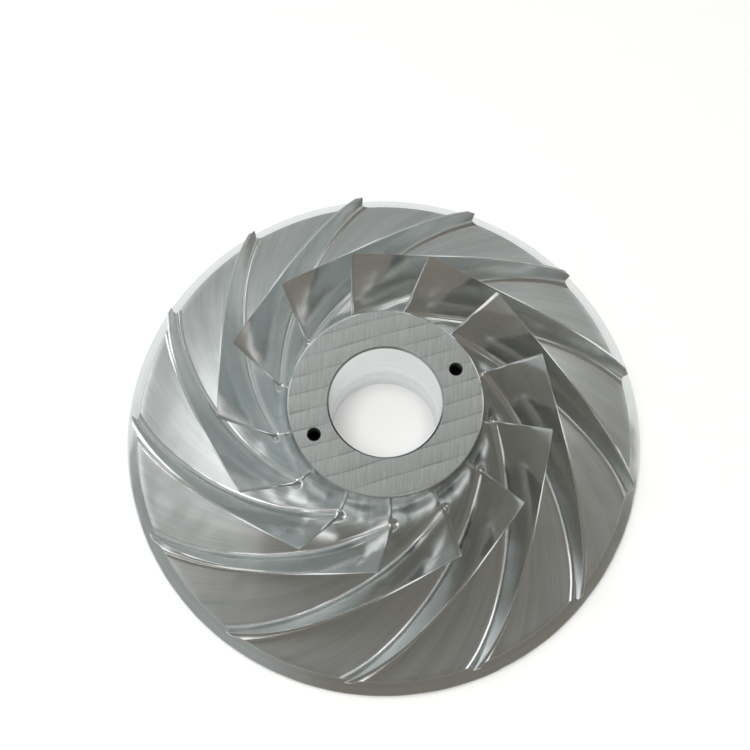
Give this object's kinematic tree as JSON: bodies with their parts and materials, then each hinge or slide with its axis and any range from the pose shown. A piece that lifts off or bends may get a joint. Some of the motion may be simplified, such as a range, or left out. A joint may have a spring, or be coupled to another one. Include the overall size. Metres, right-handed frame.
{
  "type": "impeller",
  "caption": "Open centrifugal impeller: swept blades fan out clockwise from a bored hub across a round back disc, all milled in one piece.",
  "frame": {"origin": "centre of the flat back face, on the shaft axis", "axes": "+Z along the shaft axis from the back face towards the hub's front face; +X and +Y lie in the back face, with the tapped holes at about 29 and 209 degrees from +X"},
  "size_m": [0.2446, 0.2446, 0.0505],
  "materials": {
    "milled_aluminium": "satin milled, with fine cutter marks"
  },
  "bodies": {
    "root": {"blade_01": "milled_aluminium", "blade_02": "milled_aluminium", "blade_03": "milled_aluminium", "blade_04": "milled_aluminium", "blade_05": "milled_aluminium", "blade_06": "milled_aluminium", "blade_07": "milled_aluminium", "blade_08": "milled_aluminium", "blade_09": "milled_aluminium", "blade_10": "milled_aluminium", "blade_11": "milled_aluminium", "blade_12": "milled_aluminium", "blade_13": "milled_aluminium", "hub_disc": "milled_aluminium"}
  },
  "joints": []
}
